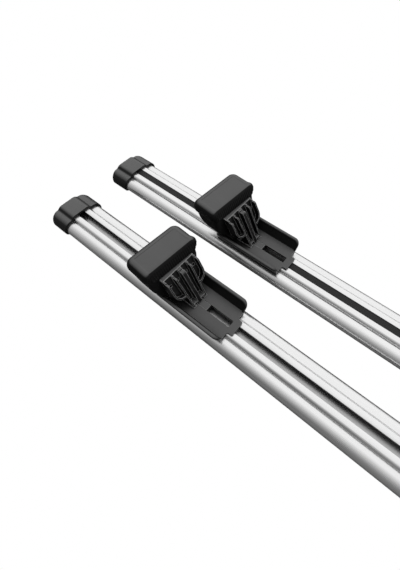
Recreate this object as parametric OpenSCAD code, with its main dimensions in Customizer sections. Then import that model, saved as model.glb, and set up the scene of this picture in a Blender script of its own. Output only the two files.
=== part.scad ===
// Pair of roof cross bars, lying smooth side down with their feet up.
// X runs along the bars, Y from the front bar to the rear bar, Z up. The origin is on the floor,
// half way along the bars and half way between them.

/* [Pair] */
// length of each bar over its end caps
bar_length = 1200; // [900:10:1500]
// distance between the centre lines of the two bars as they lie
bar_spacing = 150; // [120:1:300]

/* [Extrusion] */
// width of the extrusion over its side lobes
bar_width = 80; // [74:1:90]
// height of the extrusion from its smooth face to its slotted face
bar_height = 28; // [26:0.5:32]
// radius of the round side lobes
lobe_radius = 10; // [7:0.5:10]
// height of the lobe centres above the smooth face
lobe_height = 12.5; // [12:0.5:15]
// width of the raised strip that carries the slot
strip_width = 27.5; // [26:0.5:32]
// how far the sides of the raised strip spread on their way down
strip_flare = 3.6; // [0.5:0.1:4]
// width of the groove at the foot of the raised strip
groove_width = 1.8; // [1:0.1:2.5]
// depth of the groove at the foot of the raised strip
groove_depth = 0.9; // [0.4:0.1:1.2]
// thickness of the outer walls
skin = 1.8; // [1.4:0.1:2.4]
// width of the slot mouth
slot_width = 13.4; // [11:0.2:14]
// thickness of the two lips of the slot
lip_thickness = 2.6; // [2:0.1:3.2]
// width of the channel behind the lips
channel_width = 22; // [20:0.5:23]
// depth of the channel from the slotted face to its floor
channel_depth = 12; // [10.5:0.5:13]
// thickness of the floor and the side webs of the channel
web = 1.7; // [1.4:0.1:2]

/* [End caps] */
// length of each end cap along the bar
cap_length = 42.4; // [30:0.2:60]
// thickness of the cap sleeve around the extrusion
cap_wall = 2.2; // [1.8:0.1:3]
// thickness of the closed outer end
cap_end = 4; // [3:0.5:6]
// corner radius of the cap seen from above
cap_corner = 9; // [5:0.5:12]
// edge radius of the cap seen from the side
cap_edge = 4; // [2:0.5:5]
// length of the two plugs that reach into the hollow lobes
cap_plug = 22; // [10:1:35]

/* [Infill strip] */
// depth of the infill face below the slotted face
infill_recess = 0.8; // [0.4:0.1:1.5]
// width of the infill behind the lips
infill_foot = 18; // [15:0.5:19]
// thickness of the infill behind the lips
infill_thickness = 1.6; // [1:0.1:2.5]

/* [Foot tray] */
// distance from the end of the bar to the outer end of a tray
foot_distance = 272; // [250:1:330]
// length of the tray without its end tab
tray_length = 122; // [121:1:140]
// thickness of the tray floor
tray_floor = 3.8; // [3:0.1:5]
// width of the tray floor between the feet of its walls
tray_width = 55.4; // [54:0.2:60]
// height of the side walls above the tray floor
tray_wall_height = 16.2; // [10:0.2:18]
// how far each side wall leans out at its top
tray_wall_flare = 7.6; // [6:0.2:9]
// thickness of the side walls
tray_wall = 2.2; // [1.8:0.1:3]
// radius of the upper end corners of the side walls
tray_wall_round = 9; // [4:0.5:10]
// depth of the skirts that hang outside the raised strip
tray_skirt = 4.8; // [2:0.2:5]
// depth of the key under the tray that sits in the slot mouth
tray_key = 2.2; // [1:0.1:2.4]
// length of the key under the tray
tray_key_length = 12; // [8:1:14]
// distance from the outer end of the tray to its bolt
tray_bolt_place = 8; // [7.5:0.5:9]
// length of the end tab
tab_length = 9; // [6:0.5:12]
// width of the end tab
tab_width = 27.4; // [24:0.2:32]
// radius of the round notches beside the end tab
tab_notch = 3.4; // [2:0.2:4.5]
// corner radius of the end tab
tab_corner = 2.4; // [1:0.2:3.5]
// width of the slot in the tray floor
tray_slot = 12.2; // [11:0.2:13]
// distance from the outer end of the tray to the start of its slot
tray_slot_start = 16; // [15:0.5:17]
// room left in the slot in front of the guide tongue at the end of its travel
tray_slot_spare = 3; // [1:0.5:4]

/* [Jaw] */
// height of the level plate of the jaw above the slotted face
jaw_height = 58; // [54:0.5:62]
// lean of the ribbed face away from upright, in degrees
jaw_lean = 32.5; // [30:0.5:35]
// distance from the outer end of the tray to the foot of the ribbed face
jaw_foot = 61; // [58:0.5:62]
// width of the fan of ribs at the top
fan_top = 66; // [60:0.5:70]
// width of the fan of ribs at the bottom
fan_bottom = 29; // [26:0.5:32]
// length of the ears of the fan, measured down the face from the top
ear_length = 37; // [32:0.5:42]
// radius of the round lower ends of the ears
ear_round = 16; // [10:0.5:18]
// distance between the two inner ribs at the top, over their outer sides
inner_ribs_top = 35; // [33:0.5:38]
// thickness of the narrow ribs
rib_thickness = 2.6; // [2:0.1:3.4]
// thickness of the wide middle rib
middle_rib = 7; // [4:0.2:9]
// depth of the ribs in front of their plate
rib_depth = 8.5; // [6:0.5:10]
// thickness of the plate behind the ribs
jaw_plate = 5; // [4:0.5:6]
// thickness of the level plate on top of the jaw
jaw_lip = 2.4; // [2:0.1:3.5]
// radius of the upper front corner of the ribs
rib_corner = 5; // [2:0.5:6]
// height of the small windows under the level plate
lip_window = 4; // [3:0.2:5]
// thickness of the base that slides on the tray floor
jaw_base = 5; // [4:0.5:6]
// length of the base along the tray
jaw_base_length = 42; // [40:0.5:43]
// how far the front of the base stays behind the foot of the ribbed face
jaw_base_setback = 3.5; // [2.5:0.5:4.5]
// distance from the back of the base to the clamp bolt
clamp_bolt_place = 7.5; // [7.5:0.5:9]
// length of the level plate along the bar
jaw_top_length = 46; // [40:1:48]
// how far the sides of the level plate stay inside the ears
level_inset = 0.6; // [0.4:0.1:1.2]
// distance between the two toes, over their outer sides
toe_spread = 32; // [30:0.5:34]
// width of each toe
toe_width = 7; // [5:0.5:8]
// thickness of the toes
toe_thickness = 1.1; // [0.8:0.1:1.5]
// how far the toes reach in front of the base
toe_reach = 3; // [2:0.5:4]
// thickness of the two cheeks behind the ribbed plate
cheek_thickness = 3; // [2:0.5:4]
// distance between the cheeks
cheek_space = 18; // [16:0.5:20]
// how far the guide tongue reaches in front of the ribbed face
tongue_reach = 15; // [10:0.5:16]
// depth of the guide tongue below the slotted face
tongue_depth = 2.2; // [1:0.1:2.4]
// depth of the top of the guide tongue below the tray floor
tongue_drop = 0.5; // [0.2:0.1:1]
// how far the back of the guide tongue stays in front of the back of the base
tongue_inset = 1; // [0.5:0.5:2]
// travel of the jaw along the tray
jaw_travel = 40; // [20:1:40]

/* [Rubber boot] */
// length of the rubber pad along the bar
pad_length = 54; // [50:1:58]
// width of the rubber pad across the bar
pad_width = 104; // [96:1:110]
// height of the top of the pad above the slotted face
pad_height = 75; // [72:0.5:80]
// thickness of the round rim of the pad
pad_rim = 21; // [16:0.5:22]
// corner radius of the pad seen from above
pad_corner = 13; // [12:0.5:18]
// distance of the front of the pad from the outer end of the tray
pad_front = 12.5; // [10:0.5:15]
// turn of the pad seen from above, which follows the line of the roof
pad_turn = 4; // [0:1:6]
// gap between the lower edge of the boot and the walls of the tray
boot_clear = 1; // [0.5:0.5:3]
// length of the boot at its lower edge
boot_bottom_length = 30; // [24:1:32]
// how far the lower edge of the boot reaches in front of the pad
boot_front_step = 8; // [5:0.5:9]
// height of the fullest part of the skirt of the boot above the slotted face
boot_waist_height = 46; // [42:1:48]
// width of the boot at its fullest part
boot_waist_width = 98; // [92:1:99]
// distance from the back of the pad to the back of the boot at its fullest part
boot_waist_back = 10.5; // [8:0.5:14]
// radius of the upright edges of the boot at the top
boot_round = 8; // [5:0.5:9]
// radius of the upright edges of the boot at its lower edge
boot_low_round = 4; // [3:0.5:6]
// how far the sides of the boot stay behind the rim of the pad
boot_inset = 3.5; // [2:0.5:6]
// thickness of the boot at its lower edge
boot_wall = 3; // [2:0.2:4]
// width of the ledge that holds the boot on the plate inside it
boot_ledge = 1.8; // [1:0.2:3]

/* [Fasteners] */
// diameter of the clamp bolts
bolt_diameter = 6; // [5:0.5:6]
// diameter of the bolt heads
head_diameter = 10; // [9:0.5:11]
// height of the bolt heads
head_height = 6; // [4:0.5:6]
// width across the flats of the socket in each bolt head
socket_flats = 5; // [4:0.5:6]
// depth of the socket in each bolt head
socket_depth = 3; // [2:0.5:4]
// diameter of the washers
washer_diameter = 14; // [12:0.5:15]
// thickness of the washers
washer_thickness = 1.6; // [1:0.1:2]
// thickness of the nut plates in the channel
nut_thickness = 4; // [3:0.5:5]
// width of the nut plates in the channel
nut_width = 20; // [17:0.5:20]
// length of the nut plate that clamps the jaw
jaw_nut_length = 38; // [30:1:40]
// length of the nut plate that clamps the tray
tray_nut_length = 16; // [12:1:18]
// how far the bolts reach past their nut plates
bolt_past = 1.5; // [0.5:0.5:3]
// gap between the two nut plates of a foot
nut_space = 1.2; // [0.8:0.1:2]

/* [Clearances] */
// gap between the end cap and the extrusion
cap_gap = 0.3; // [0.1:0.05:0.5]
// gap around sliding pieces
slide_gap = 0.3; // [0.2:0.05:0.5]
// gap between pieces that are pushed together
seat_gap = 0.3; // [0.1:0.05:0.5]
// gap between a bolt and the thread of its nut plate, on the radius
thread_gap = 0.05; // [0.02:0.01:0.1]
// gap between a bolt and its clearance hole, on the radius
hole_gap = 0.4; // [0.2:0.1:0.6]

/* [Hidden] */
$fn = 96;
// overlap that joins the forms of one piece
bite = 0.4;
// extra reach of a cutting form
over = 1;
// size of cutting forms that only have to be large enough
far = 200;
// steps in a full turn of the round edges of the boot
boot_steps = 24;
// steps in a full turn of the rim of the pad
rim_steps = 32;
lobe_y = bar_width / 2 - lobe_radius;
// radius of the arc that would just touch the lobes from outside
touching_radius = (lobe_y ^ 2 + lobe_height ^ 2 - lobe_radius ^ 2) / (2 * (lobe_height - lobe_radius));
// the arc of the smooth face is tighter by this share, so that it cuts the lobes cleanly
under_tighter = 0.01;
under_radius = (1 - under_tighter) * touching_radius;
shoulder_height = lobe_height + lobe_radius;
strip_foot = strip_width / 2 + strip_flare;
channel_floor = bar_height - channel_depth;
chamber_y = channel_width / 2 + web;
bar_z = cap_wall + cap_gap;
face_z = bar_z + bar_height;
cap_half = bar_width / 2 + cap_gap + cap_wall;
extrusion_length = bar_length - 2 * (cap_end + seat_gap);
infill_start = cap_length + seat_gap;
infill_outer_length = foot_distance - infill_start - seat_gap;
infill_middle_start = foot_distance + tray_length + tab_length + seat_gap;
half_floor = tray_width / 2;
wall_top = tray_floor + tray_wall_height;
jaw_floor = tray_floor + slide_gap;
jaw_rise = jaw_height - jaw_floor;
face_length = jaw_rise / cos(jaw_lean);
lip_front = jaw_foot - jaw_rise * tan(jaw_lean);
level_front = lip_front - rib_depth / cos(jaw_lean);
jaw_depth = rib_depth + jaw_plate;
base_front = jaw_foot - jaw_base_setback;
base_back = base_front - jaw_base_length;
base_top = jaw_floor + jaw_base;
clamp_bolt_x = base_back + clamp_bolt_place;
tongue_end = jaw_foot + tongue_reach;
tongue_start = base_back + tongue_inset;
tongue_top = tray_floor - tongue_drop;
tray_slot_end = tongue_end + jaw_travel + tray_slot_spare;
cheek_back = clamp_bolt_x + washer_diameter / 2 + 2 * hole_gap;
nut_top = -lip_thickness - slide_gap;
nut_bottom = nut_top - nut_thickness;
rim_radius = pad_rim / 2;
pad_back = pad_front - pad_length;
pad_middle = pad_height - rim_radius;
pad_centre = pad_front - pad_length / 2;
wall_outside = half_floor + tray_wall_flare + tray_wall;
boot_low = wall_top + boot_clear;
boot_low_front = pad_front + boot_front_step;
// front of the boot at its fullest part, on the line from the pad to the lower edge
boot_waist_front = pad_front
  + boot_front_step * (pad_middle - boot_waist_height) / (pad_middle - boot_low);
boot_low_back = boot_low_front - boot_bottom_length;
plate_back = level_front - jaw_top_length;
plate_low = jaw_height - jaw_lip;
// distance from the outer end of the clamp nut plate to its bolt
clamp_nut_hole = clamp_bolt_x - tray_bolt_place - tray_nut_length / 2 - nut_space;
tray_bolt_length = tray_floor - nut_bottom + bolt_past;
clamp_bolt_length = base_top + washer_thickness - nut_bottom + bolt_past;

// a profile drawn across the bar, pushed along it
module along_x(length) {
  rotate([90, 0, 90]) linear_extrude(length) children();
}

// a profile drawn in the side view, pushed across the bar and centred on it
module across_y(width) {
  rotate([90, 0, 0]) linear_extrude(width, center = true) children();
}

module mirrored_y() {
  children();
  mirror([0, 1, 0]) children();
}

// rectangle with its two upper corners rounded
module round_top(length, height, radius) {
  square([length, height - radius]);
  translate([radius, 0]) square([length - 2 * radius, height]);
  for (x = [radius, length - radius])
    translate([x, height - radius]) circle(radius);
}

// rounded rectangle with one corner at the origin
module round_rect(length, width, radius) {
  for (x = [radius, length - radius], y = [radius, width - radius])
    translate([x, y]) circle(radius);
  translate([radius, 0]) square([length - 2 * radius, width]);
  translate([0, radius]) square([length, width - 2 * radius]);
}

// outline of the extrusion without its raised strip, grown by a distance all round
module lobes_outline(grow = 0) {
  meet_y = (touching_radius + grow) * lobe_y / (touching_radius - lobe_radius);
  for (side = [-1, 1])
    translate([side * lobe_y, lobe_height]) circle(lobe_radius + grow);
  intersection() {
    translate([-meet_y, -grow - over]) square([2 * meet_y, lobe_height + grow + over]);
    translate([0, under_radius]) circle(under_radius + grow);
  }
  translate([-lobe_y, lobe_height - bite]) square([2 * lobe_y, lobe_radius + grow + bite]);
}

// outline of the extrusion with its raised strip, grown by a distance all round
module bar_outline(grow = 0) {
  top_y = strip_width / 2 + grow;
  foot_y = strip_foot + grow;
  lobes_outline(grow);
  polygon([
    [-foot_y, lobe_height], [foot_y, lobe_height], [foot_y, shoulder_height],
    [top_y, bar_height + grow], [-top_y, bar_height + grow], [-foot_y, shoulder_height]
  ]);
}

// hollow lobe on the far side, shrunk by a distance all round
module lobe_chamber(gap = 0) {
  intersection() {
    lobes_outline(-skin - gap);
    translate([chamber_y + gap, 0]) square([bar_width, bar_height]);
  }
}

module extrusion_section() {
  difference() {
    bar_outline();
    translate([-slot_width / 2, bar_height - lip_thickness - bite])
      square([slot_width, lip_thickness + bite + over]);
    translate([-channel_width / 2, channel_floor])
      square([channel_width, channel_depth - lip_thickness]);
    intersection() {
      lobes_outline(-skin);
      translate([-channel_width / 2, 0]) square([channel_width, channel_floor - web]);
    }
    for (side = [0, 1]) mirror([side, 0]) {
      lobe_chamber();
      translate([strip_foot, shoulder_height - groove_depth])
        square([groove_width, groove_depth + over]);
    }
  }
}

module extrusion() {
  color("silver")
    translate([-extrusion_length / 2, 0, bar_z])
      along_x(extrusion_length) extrusion_section();
}

// end cap with its closed end at x = 0 and its sleeve towards positive x
module end_cap() {
  color("dimgray") {
    difference() {
      intersection() {
        translate([0, 0, bar_z]) along_x(cap_length) bar_outline(cap_gap + cap_wall);
        translate([0, -cap_half, -over]) linear_extrude(face_z + cap_half)
          round_rect(2 * cap_length, 2 * cap_half, cap_corner);
        across_y(2 * cap_half + over)
          round_rect(2 * cap_length, face_z + cap_gap + cap_wall, cap_edge);
      }
      translate([cap_end, 0, bar_z]) along_x(cap_length) bar_outline(cap_gap);
    }
    mirrored_y() translate([cap_end - bite, 0, bar_z])
      along_x(cap_plug + bite) lobe_chamber(cap_gap);
  }
}

// rubber strip in the slot, running from x = 0
module infill(length) {
  foot_top = bar_height - lip_thickness - seat_gap;
  mouth = slot_width - 2 * seat_gap;
  color([0.13, 0.13, 0.13]) translate([0, 0, bar_z]) along_x(length) {
    translate([-infill_foot / 2, foot_top - infill_thickness])
      square([infill_foot, infill_thickness]);
    translate([-mouth / 2, foot_top - bite])
      square([mouth, bar_height - infill_recess - foot_top + bite]);
  }
}

// strip between an end cap and a tray, placed from the end of the bar
module outer_infill() {
  translate([infill_start, 0, 0]) infill(infill_outer_length);
}

// strip between the two trays of one bar
module middle_infill() {
  length = bar_length - 2 * infill_middle_start;
  translate([-length / 2, 0, 0]) infill(length);
}

// floor of the tray with its end tab, seen from above
module tray_plan() {
  translate([0, -half_floor - bite]) square([tray_length, tray_width + 2 * bite]);
  translate([tray_length - tab_length, -tab_width / 2])
    round_rect(2 * tab_length, tab_width, tab_corner);
  for (side = [0, 1]) mirror([0, side])
    difference() {
      translate([tray_length - bite, tab_width / 2 - bite])
        square([tab_notch + bite, tab_notch + bite]);
      translate([tray_length + tab_notch, tab_width / 2 + tab_notch]) circle(tab_notch);
    }
}

// section of the far wall of the tray with its skirt
module tray_wall_section() {
  polygon([
    [half_floor, 0], [half_floor, tray_floor],
    [half_floor + tray_wall_flare, wall_top],
    [half_floor + tray_wall_flare + tray_wall, wall_top],
    [half_floor + tray_wall, 0], [half_floor + tray_wall, -tray_skirt],
    [half_floor, -tray_skirt]
  ]);
}

module tray_side_view() {
  translate([0, -tray_skirt - over])
    round_top(tray_length, tray_skirt + over + wall_top, tray_wall_round);
}

// tray with its outer end at x = 0, on the slotted face at z = 0
module tray() {
  color([0.35, 0.35, 0.36]) difference() {
    union() {
      linear_extrude(tray_floor) tray_plan();
      intersection() {
        mirrored_y() along_x(tray_length) tray_wall_section();
        across_y(far) tray_side_view();
      }
      translate([tray_bolt_place - tray_key_length / 2, -slot_width / 2 + slide_gap, -tray_key])
        cube([tray_key_length, slot_width - 2 * slide_gap, tray_key + bite]);
    }
    translate([tray_slot_start, -tray_slot / 2, -over])
      cube([tray_slot_end - tray_slot_start, tray_slot, tray_floor + 2 * over]);
    translate([tray_bolt_place, 0, -tray_key - over])
      cylinder(r = bolt_diameter / 2 + hole_gap, h = tray_floor + tray_key + 2 * over);
  }
}

// socket head bolt, with the underside of its head at z = 0
module socket_bolt(length) {
  color([0.5, 0.5, 0.52]) difference() {
    union() {
      cylinder(d = head_diameter, h = head_height);
      translate([0, 0, -length]) cylinder(d = bolt_diameter, h = length + bite);
    }
    translate([0, 0, head_height - socket_depth])
      cylinder(d = socket_flats / cos(30), h = socket_depth + over, $fn = 6);
  }
}

// plate in the channel with a threaded hole, centred on its bolt and hanging from z = 0
module nut_plate(length, hole_place) {
  color([0.6, 0.6, 0.62]) difference() {
    translate([-hole_place, -nut_width / 2, -nut_thickness])
      cube([length, nut_width, nut_thickness]);
    translate([0, 0, -nut_thickness - over])
      cylinder(r = bolt_diameter / 2 + thread_gap, h = nut_thickness + 2 * over);
  }
}

module washer() {
  color("silver") difference() {
    cylinder(d = washer_diameter, h = washer_thickness);
    translate([0, 0, -over])
      cylinder(r = bolt_diameter / 2 + hole_gap, h = washer_thickness + 2 * over);
  }
}

// children drawn on the ribbed face: x out of the face, y across it, z up along it
module on_face() {
  translate([jaw_foot, 0, jaw_floor]) rotate([0, -jaw_lean, 0]) children();
}

// outline of the fan: ears at the top, a narrow stem below, shrunk by a distance all round
module fan_outline(inset = 0) {
  ear_low = face_length - ear_length + inset;
  ear_width = fan_top - 2 * inset;
  translate([-ear_width / 2, ear_low]) round_rect(ear_width, 2 * ear_length, ear_round - inset);
  stem_outline(inset);
}

// outline over the outer sides of the two inner ribs
module stem_outline(inset = 0) {
  top_y = inner_ribs_top / 2 - inset;
  foot_y = fan_bottom / 2 - inset;
  polygon([
    [-foot_y, -far], [foot_y, -far], [foot_y, 0],
    [top_y, face_length], [top_y, far],
    [-top_y, far], [-top_y, face_length], [-foot_y, 0]
  ]);
}

// what is taken away between the ribs, drawn in the plane of the face
module rib_pockets() {
  difference() {
    union() {
      difference() {
        fan_outline(rib_thickness);
        stem_outline();
      }
      stem_outline(rib_thickness);
    }
    translate([-middle_rib / 2, -far]) square([middle_rib, 2 * far]);
  }
}

// side view of the ribbed block with its round upper front corner
module rib_side_view() {
  translate([-jaw_depth - over, -jaw_depth])
    square([jaw_depth + over, face_length + jaw_depth - rib_corner]);
  translate([-jaw_depth - over, -jaw_depth])
    square([jaw_depth + over - rib_corner, face_length + 2 * jaw_depth]);
  translate([-rib_corner, face_length - rib_corner]) circle(rib_corner);
}

// leaning plate with the fan of ribs in front of it
module ribbed_plate() {
  difference() {
    on_face() difference() {
      intersection() {
        translate([-jaw_depth, 0, 0]) along_x(jaw_depth) fan_outline();
        across_y(far) rib_side_view();
      }
      translate([-rib_depth, 0, 0]) along_x(rib_depth + over) rib_pockets();
      translate([-jaw_depth - over, 0, 0]) along_x(jaw_depth + 2 * over)
        lip_windows();
    }
    // the plate stands on the base and ends under the lip
    translate([-far, -far, jaw_floor - far]) cube([2 * far, 2 * far, far]);
    translate([-far, -far, jaw_height - bite]) cube([2 * far, 2 * far, far]);
  }
}

// small windows through the plate, one under the lip in each space between the ribs
module lip_windows() {
  window_top = face_length - jaw_lip - rib_corner;
  outer_y = (fan_top + inner_ribs_top) / 4;
  inner_y = (inner_ribs_top / 2 - rib_thickness + middle_rib / 2) / 2;
  for (y = [-outer_y, -inner_y, inner_y, outer_y])
    translate([y - lip_window / 2, window_top - lip_window]) square(lip_window);
}

// place along the bar of the middle of the leaning plate, at a height
function inside_plate(height) =
  jaw_foot - (height - jaw_floor) * tan(jaw_lean) - (rib_depth + jaw_plate / 2) / cos(jaw_lean);

// cheek that ties the level plate to the ribbed plate and the base
module cheek_side_view() {
  polygon([
    [cheek_back, base_top - bite], [inside_plate(base_top - bite), base_top - bite],
    [inside_plate(plate_low + bite), plate_low + bite], [plate_back + jaw_lip, plate_low + bite]
  ]);
}

module jaw() {
  tongue_width = tray_slot - 2 * slide_gap;
  color([0.16, 0.16, 0.17]) difference() {
    union() {
      ribbed_plate();
      translate([plate_back, level_inset - fan_top / 2, plate_low])
        cube([jaw_top_length, fan_top - 2 * level_inset, jaw_lip]);
      translate([base_back, -fan_bottom / 2, jaw_floor])
        cube([jaw_base_length, fan_bottom, jaw_base]);
      translate([tongue_start, -tongue_width / 2, -tongue_depth])
        cube([tongue_end - tongue_start, tongue_width, tongue_depth + tongue_top]);
      translate([tongue_start, -tongue_width / 2, tongue_top - bite])
        cube([base_front - tongue_start, tongue_width, jaw_floor - tongue_top + 2 * bite]);
      mirrored_y() {
        translate([0, cheek_space / 2 + cheek_thickness / 2, 0])
          across_y(cheek_thickness) cheek_side_view();
        translate([cheek_back, toe_spread / 2 - toe_width, jaw_floor])
          cube([base_front + toe_reach - cheek_back, toe_width, toe_thickness]);
      }
    }
    translate([clamp_bolt_x, 0, -tongue_depth - over])
      cylinder(r = bolt_diameter / 2 + hole_gap, h = base_top + tongue_depth + 2 * over);
  }
}

// rounded corner of the rim of the pad
module rim_corner() {
  rotate_extrude($fn = rim_steps) intersection() {
    translate([pad_corner - rim_radius, 0]) circle(rim_radius, $fn = rim_steps);
    translate([0, -rim_radius]) square([pad_corner, 2 * rim_radius]);
  }
}

// children turned with the pad
module turned() {
  translate([pad_centre, 0, 0]) rotate(-pad_turn) translate([-pad_centre, 0, 0]) children();
}

module pad() {
  turned() hull() for (x = [pad_back + pad_corner, pad_front - pad_corner])
    mirrored_y() translate([x, pad_width / 2 - pad_corner, pad_middle]) rim_corner();
}

// four thin posts at the corners of the skirt of the boot, at a height
module skirt_posts(back, front, half_width, radius, height) {
  mirrored_y() for (x = [back + radius, front - radius])
    translate([x, half_width - radius, height]) cylinder(r = radius, h = bite, $fn = boot_steps);
}

// skirt of the boot, from inside the rim over its fullest part down to its lower edge
module boot_skirt() {
  side_y = pad_width / 2 - boot_inset;
  hull() {
    turned() {
      skirt_posts(pad_back + boot_inset, pad_front - seat_gap, side_y, boot_round, pad_middle);
      skirt_posts(pad_back + boot_waist_back, boot_waist_front, boot_waist_width / 2, boot_round,
        boot_waist_height);
    }
    skirt_posts(boot_low_back, boot_low_front, wall_outside, boot_low_round, boot_low);
  }
}

// space inside the boot behind the ribbed plate, open below and in front
module boot_hollow() {
  top_y = fan_top / 2 - boot_ledge;
  low_y = wall_outside - boot_wall;
  front = boot_low_front + over;
  hull() {
    translate([plate_back + boot_ledge, -top_y, plate_low])
      cube([front - plate_back - boot_ledge, 2 * top_y, bite]);
    translate([boot_low_back + boot_wall, -low_y, boot_low - over])
      cube([front - boot_low_back - boot_wall, 2 * low_y, bite]);
  }
}

// rubber boot: the pad with its round rim, and the skirt around the jaw
module boot() {
  opening_y = fan_top / 2 + seat_gap;
  opening_back = lip_front - jaw_depth / cos(jaw_lean) - seat_gap;
  // the ribbed plate stands clear of the boot below this height
  opening_low = jaw_floor
    + (jaw_foot - jaw_depth / cos(jaw_lean) - boot_low_front - over) / tan(jaw_lean);
  color([0.2, 0.2, 0.2]) difference() {
    union() {
      pad();
      boot_skirt();
    }
    translate([plate_back - seat_gap, -opening_y, plate_low - seat_gap])
      cube([far, 2 * opening_y, jaw_lip + 2 * seat_gap]);
    boot_hollow();
    translate([opening_back, -opening_y, opening_low])
      cube([far, 2 * opening_y, plate_low - opening_low]);
  }
}

// children on one bar: row is -1 for the front bar and 1 for the rear bar
module on_bar(row) {
  translate([0, row * bar_spacing / 2, 0]) children();
}

// children drawn from the left end of a bar inwards: side is 0 for the left end and 1 for the right
module at_end(row, side) {
  mirror([side, 0, 0]) translate([-bar_length / 2, row * bar_spacing / 2, 0]) children();
}

// children drawn from the outer end of a tray inwards, with z = 0 on the slotted face
module at_foot(row, side) {
  at_end(row, side) translate([foot_distance, 0, face_z]) children();
}

module tray_bolt() {
  translate([tray_bolt_place, 0, tray_floor]) socket_bolt(tray_bolt_length);
}

module tray_nut() {
  translate([tray_bolt_place, 0, nut_top]) nut_plate(tray_nut_length, tray_nut_length / 2);
}

module clamp_bolt() {
  translate([clamp_bolt_x, 0, base_top + washer_thickness]) socket_bolt(clamp_bolt_length);
}

module clamp_washer() {
  translate([clamp_bolt_x, 0, base_top]) washer();
}

module clamp_nut() {
  translate([clamp_bolt_x, 0, nut_top]) nut_plate(jaw_nut_length, clamp_nut_hole);
}

on_bar(-1) extrusion();  // front_extrusion
on_bar(1) extrusion();  // rear_extrusion
at_end(-1, 0) end_cap();  // front_left_end_cap
at_end(-1, 1) end_cap();  // front_right_end_cap
at_end(1, 0) end_cap();  // rear_left_end_cap
at_end(1, 1) end_cap();  // rear_right_end_cap
at_end(1, 0) outer_infill();  // rear_left_infill
on_bar(1) middle_infill();  // rear_middle_infill
at_end(1, 1) outer_infill();  // rear_right_infill
at_foot(-1, 0) tray();  // front_left_tray
at_foot(-1, 1) tray();  // front_right_tray
at_foot(1, 0) tray();  // rear_left_tray
at_foot(1, 1) tray();  // rear_right_tray
at_foot(-1, 0) tray_bolt();  // front_left_tray_bolt
at_foot(-1, 1) tray_bolt();  // front_right_tray_bolt
at_foot(1, 0) tray_bolt();  // rear_left_tray_bolt
at_foot(1, 1) tray_bolt();  // rear_right_tray_bolt
at_foot(-1, 0) tray_nut();  // front_left_tray_nut
at_foot(-1, 1) tray_nut();  // front_right_tray_nut
at_foot(1, 0) tray_nut();  // rear_left_tray_nut
at_foot(1, 1) tray_nut();  // rear_right_tray_nut
at_foot(-1, 0) jaw();  // front_left_jaw
at_foot(-1, 1) jaw();  // front_right_jaw
at_foot(1, 0) jaw();  // rear_left_jaw
at_foot(1, 1) jaw();  // rear_right_jaw
at_foot(-1, 0) boot();  // front_left_boot
at_foot(-1, 1) boot();  // front_right_boot
at_foot(1, 0) boot();  // rear_left_boot
at_foot(1, 1) boot();  // rear_right_boot
at_foot(-1, 0) clamp_bolt();  // front_left_clamp_bolt
at_foot(-1, 1) clamp_bolt();  // front_right_clamp_bolt
at_foot(1, 0) clamp_bolt();  // rear_left_clamp_bolt
at_foot(1, 1) clamp_bolt();  // rear_right_clamp_bolt
at_foot(-1, 0) clamp_washer();  // front_left_washer
at_foot(-1, 1) clamp_washer();  // front_right_washer
at_foot(1, 0) clamp_washer();  // rear_left_washer
at_foot(1, 1) clamp_washer();  // rear_right_washer
at_foot(-1, 0) clamp_nut();  // front_left_clamp_nut
at_foot(-1, 1) clamp_nut();  // front_right_clamp_nut
at_foot(1, 0) clamp_nut();  // rear_left_clamp_nut
at_foot(1, 1) clamp_nut();  // rear_right_clamp_nut
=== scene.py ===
import math

import bpy
import numpy as np
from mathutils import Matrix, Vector


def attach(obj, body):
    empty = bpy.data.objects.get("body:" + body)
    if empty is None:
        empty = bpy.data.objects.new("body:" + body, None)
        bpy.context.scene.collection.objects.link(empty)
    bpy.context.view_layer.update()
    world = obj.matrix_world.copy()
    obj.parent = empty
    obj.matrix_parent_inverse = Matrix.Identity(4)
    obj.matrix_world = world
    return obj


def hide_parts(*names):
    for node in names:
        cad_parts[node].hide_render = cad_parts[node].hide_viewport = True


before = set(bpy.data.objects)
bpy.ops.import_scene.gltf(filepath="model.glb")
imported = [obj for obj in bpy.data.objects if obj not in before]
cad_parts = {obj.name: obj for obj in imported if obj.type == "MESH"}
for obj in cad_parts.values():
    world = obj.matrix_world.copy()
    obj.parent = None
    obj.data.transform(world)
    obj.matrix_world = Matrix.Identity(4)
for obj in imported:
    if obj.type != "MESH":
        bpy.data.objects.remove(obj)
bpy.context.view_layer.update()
print("frame loaded")

mmPerMetre = 1000.0
rowSign = {"front": -1, "rear": 1}
sideSign = {"left": 1, "right": -1}
feet = [(row, side) for row in rowSign for side in sideSign]
bevelSamples = 6
openSamples = 8
noiseCore = (0.3, 0.7)  # most values of a noise lie in this range
lineCore = (0.35, 0.65)  # narrower, for the stronger contrast of lines and patches

# What a user would change about the view and the light: metres, but lens and sensor in millimetres
viewSettings = {
    "place": (-0.1152, -0.2597, 0.5053),
    "towards": (-0.352, 0.4215, -0.836),
    "lens": 21.35,
    "sensor": 36.0,
    "shiftY": -0.0368,
    "nearest": 0.01,
    "floorTone": 0.50,
    "floorSize": 40.0,
    "floorDrop": 0.0002,  # keeps the floor just clear of the caps
    "floorShadow": 0.14,  # reach of the darker patch that metal sees near the object
    "floorFade": 2.0,
    "floorGloss": 0.17,
    "skyHigh": 0.936,
    "skyLow": 0.136,
    "skyEdge": (-1.0, 0.26),  # share of the direction along Y at which the sky is lowest and highest
    "softboxPlace": (-0.6, 0.5, 1.4),
    "softboxTarget": (-0.3, 0.0, 0.0),
    "softboxSize": 1.2,
    "softboxPower": 5.5,
}


# Linear grey as a colour with full alpha
def grey(value):
    return (value, value, value, 1.0)


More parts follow.
